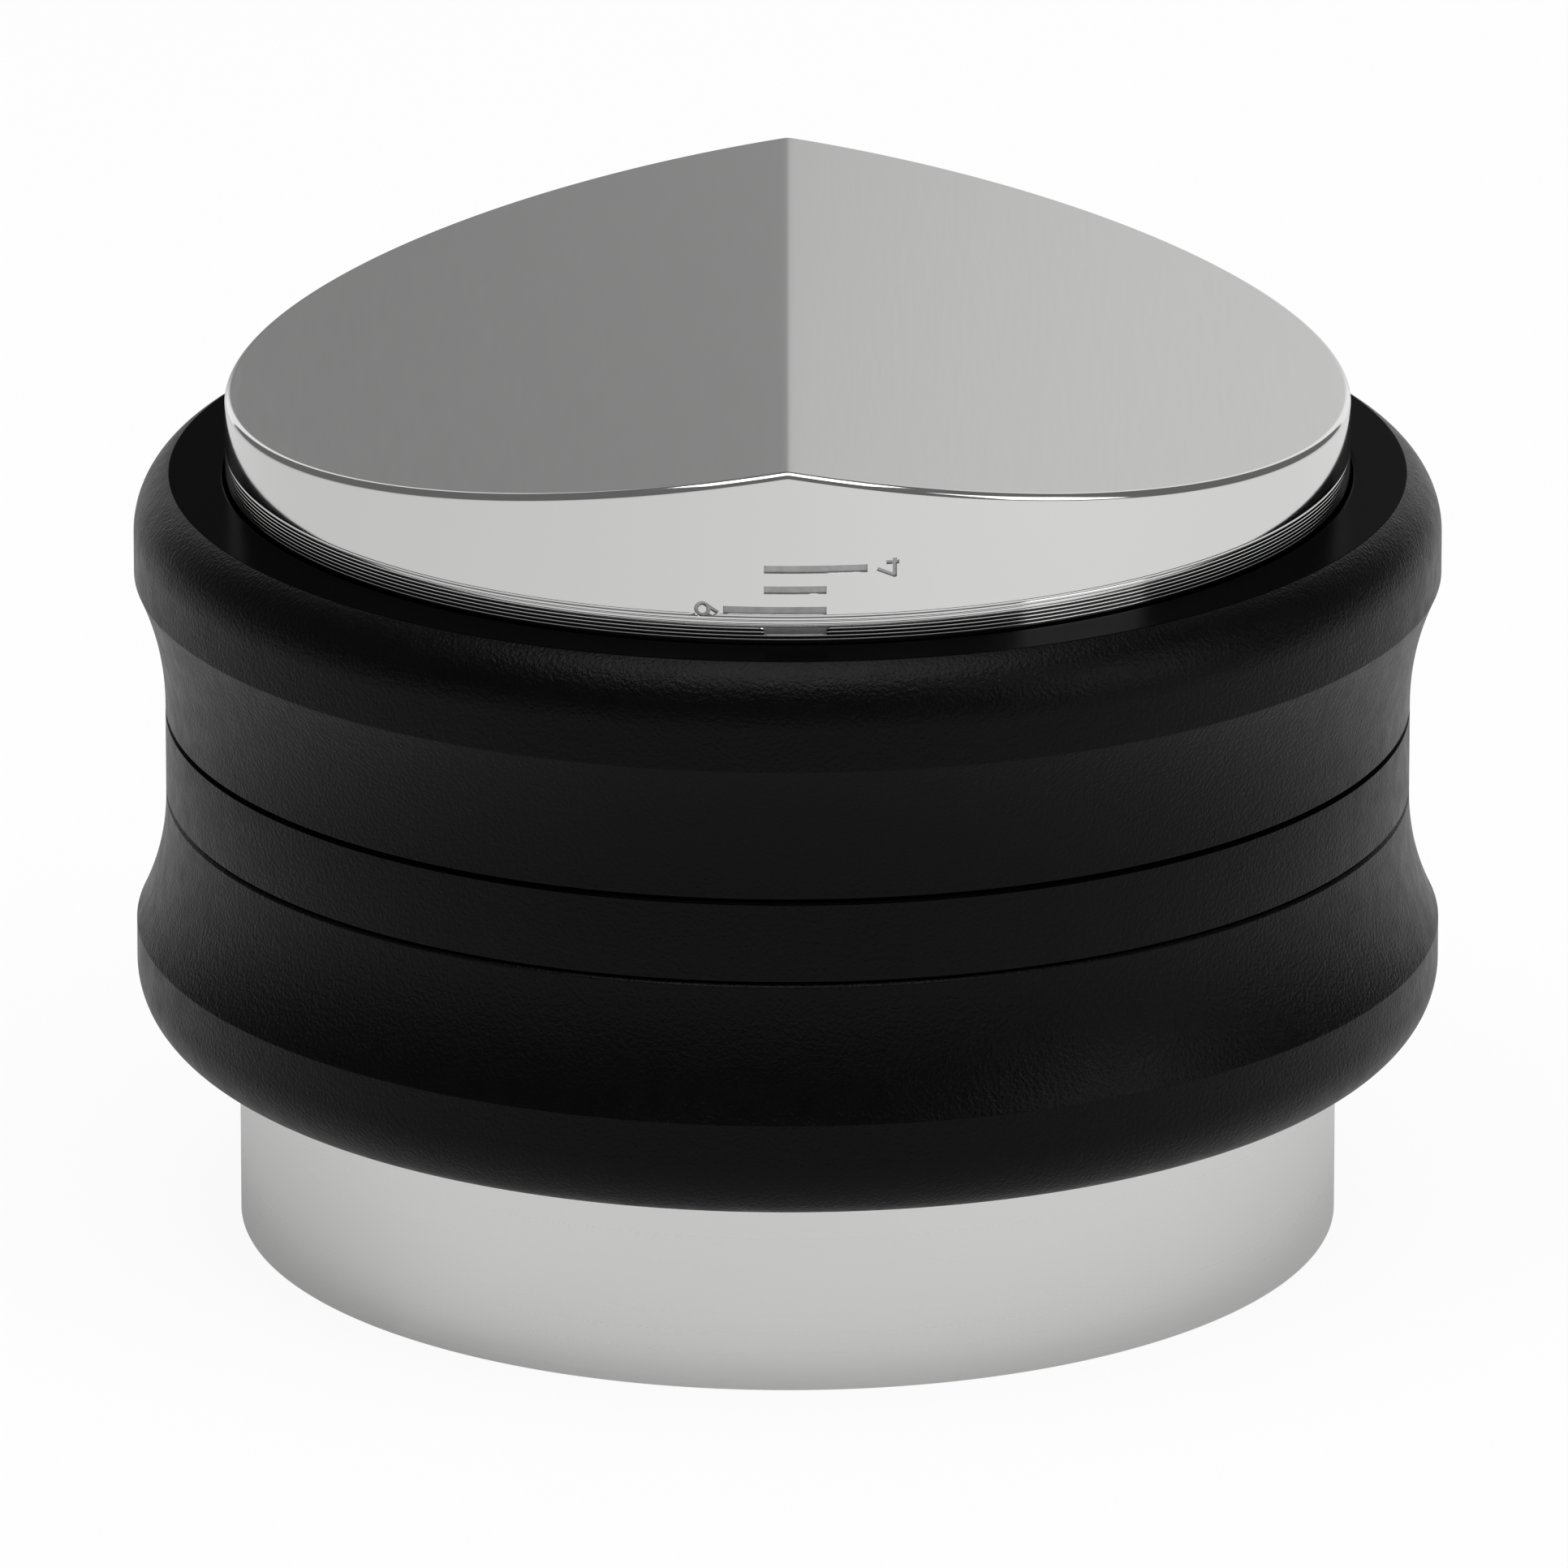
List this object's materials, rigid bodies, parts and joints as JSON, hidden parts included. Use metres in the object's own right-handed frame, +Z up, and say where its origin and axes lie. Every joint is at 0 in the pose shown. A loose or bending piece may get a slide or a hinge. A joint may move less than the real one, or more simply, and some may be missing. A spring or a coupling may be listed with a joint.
{
  "type": "dual-head coffee distributor and tamper",
  "caption": "Round waisted palm tool with a gable-faced distributor head on top and a flat tamping head below, each screwing on a central hub and locked by its own grip.",
  "frame": {"origin": "centre of the flat tamping face, on the surface the tool stands on", "axes": "+Z up through the hub's axis to the distributor head; the gable's ridge runs along Y; the depth scale faces -Y"},
  "size_m": [0.062, 0.062, 0.0453],
  "materials": {
    "black_anodised": "fine bead-blasted matte black anodising",
    "plain_aluminium": "turned, uncoated",
    "polished_steel": "mirror-polished side wall, satin gable faces",
    "satin_steel": "fine turned satin",
    "rubber": "matte"
  },
  "bodies": {
    "centre": {"center_ring": "black_anodised", "threaded_hub": "plain_aluminium"},
    "upper_lock": {"distributor_grip": "black_anodised"},
    "lower_lock": {"tamper_grip": "black_anodised"},
    "upper_slide": {"distributor_drag_ring": "rubber"},
    "upper_head": {"distributor_head": "polished_steel"},
    "lower_slide": {"tamper_drag_ring": "rubber"},
    "lower_head": {"tamper_head": "satin_steel"}
  },
  "joints": [
    {"name": "distributor_travel", "type": "slide", "parent": "centre", "child": "upper_slide", "axis": [0, 0, 1], "range_m": [-0.0038, 0.00076]},
    {"name": "distributor_turn", "type": "hinge", "parent": "upper_slide", "child": "upper_head", "pos_m": [0, 0, 0.035], "axis": [0, 0, 1], "range_deg": [-2735, 540]},
    {"name": "tamper_travel", "type": "slide", "parent": "centre", "child": "lower_slide", "axis": [0, 0, -1], "range_m": [-0.0038, 0.00076]},
    {"name": "tamper_turn", "type": "hinge", "parent": "lower_slide", "child": "lower_head", "pos_m": [0, 0, 0.012], "axis": [0, 0, -1], "range_deg": [-2735, 540]},
    {"name": "distributor_lock", "type": "hinge", "parent": "centre", "child": "upper_lock", "pos_m": [0, 0, 0.031], "axis": [0, 0, 1], "range_deg": [0, 90]},
    {"name": "tamper_lock", "type": "hinge", "parent": "centre", "child": "lower_lock", "pos_m": [0, 0, 0.016], "axis": [0, 0, -1], "range_deg": [0, 90]}
  ],
  "couplings": [
    {"joint": "distributor_travel", "follows": "distributor_turn", "m_per_rad": 0.000079577},
    {"joint": "tamper_travel", "follows": "tamper_turn", "m_per_rad": 0.000079577}
  ]
}
